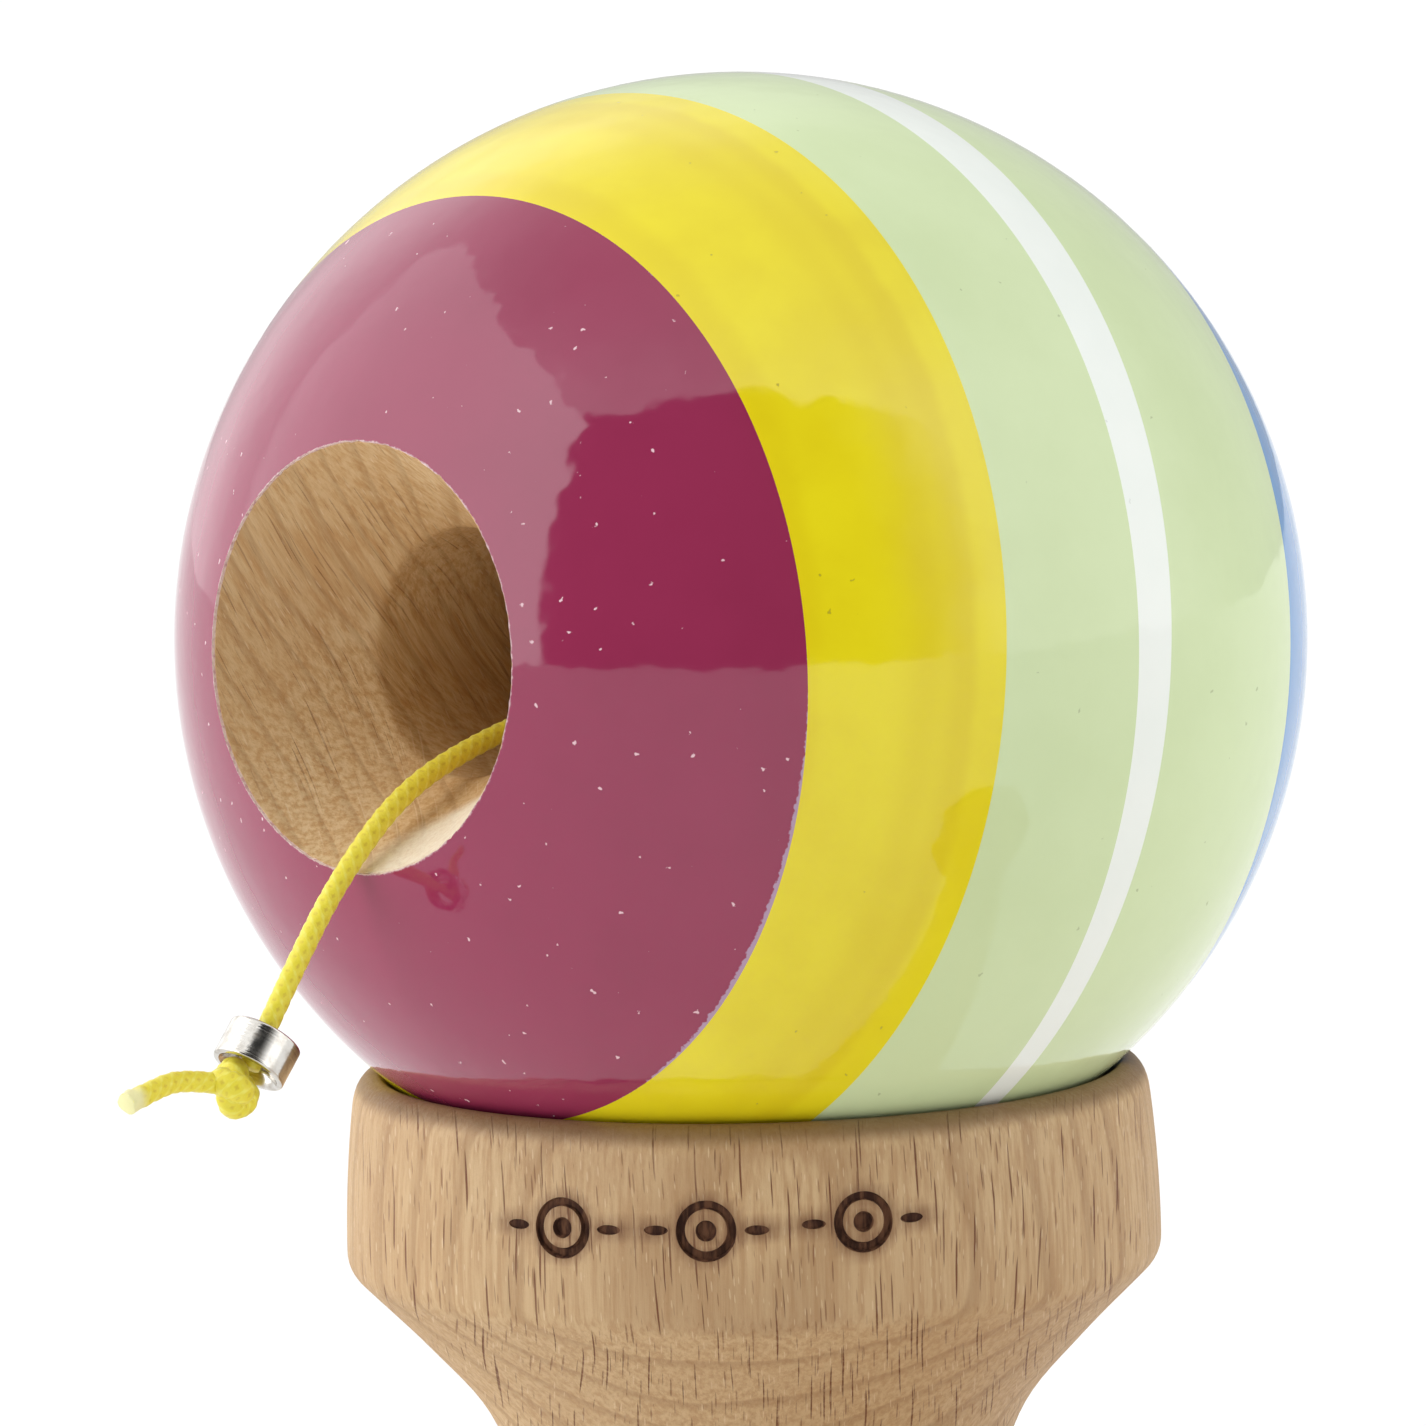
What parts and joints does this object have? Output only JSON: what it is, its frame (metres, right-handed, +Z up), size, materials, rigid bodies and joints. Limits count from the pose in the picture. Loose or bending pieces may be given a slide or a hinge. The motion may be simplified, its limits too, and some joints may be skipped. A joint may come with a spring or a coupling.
{
  "type": "kendama",
  "caption": "Wooden kendama standing on its small cup, with the striped, tied ball resting in the big cup and the handle through the crosspiece.",
  "frame": {"origin": "centre of the small cup's rim, on the surface that the kendama stands on", "axes": "+Z up along the crosspiece, from small cup to big cup; +X along the handle, towards its base cup; the ball's hole faces -Y"},
  "size_m": [0.164, 0.0804, 0.1228],
  "materials": {
    "beech": "sanded and lightly oiled beech",
    "bare_beech": "bare drilled beech inside the painted ball",
    "string": "braided waxed polyester",
    "bright_nickel": "bright plated ring",
    "maroon_lacquer": "glossy sprayed lacquer under a clear coat",
    "yellow_lacquer": "glossy sprayed lacquer under a clear coat",
    "green_lacquer": "glossy sprayed lacquer under a clear coat",
    "white_lacquer": "glossy sprayed lacquer under a clear coat",
    "blue_lacquer": "glossy sprayed lacquer under a clear coat"
  },
  "bodies": {
    "crosspiece": {"crosspiece": "beech", "string_lead": "string", "string_coil": "string", "string_riser": "string"},
    "ken": {"ken_handle": "beech", "anchor_knot": "string", "string_in_ken": "string"},
    "ball": {"ball": "bare_beech", "paint_maroon": "maroon_lacquer", "paint_yellow": "yellow_lacquer", "paint_green_front": "green_lacquer", "paint_white_line": "white_lacquer", "paint_green_rear": "green_lacquer", "paint_blue": "blue_lacquer", "string_through_ball": "string", "end_knot": "string", "string_tail": "string"},
    "bead": {"bead": "bright_nickel"}
  },
  "joints": [
    {"name": "ken_slide", "type": "slide", "parent": "crosspiece", "child": "ken", "axis": [1, 0, 0], "range_m": [0, 0.08]},
    {"name": "ball_lift", "type": "slide", "parent": "crosspiece", "child": "ball", "axis": [0, 0, 1], "range_m": [0, 0.015]},
    {"name": "bead_slide", "type": "slide", "parent": "ball", "child": "bead", "axis": [0, 0.5721, 0.8202], "range_m": [0, 0.004]}
  ]
}
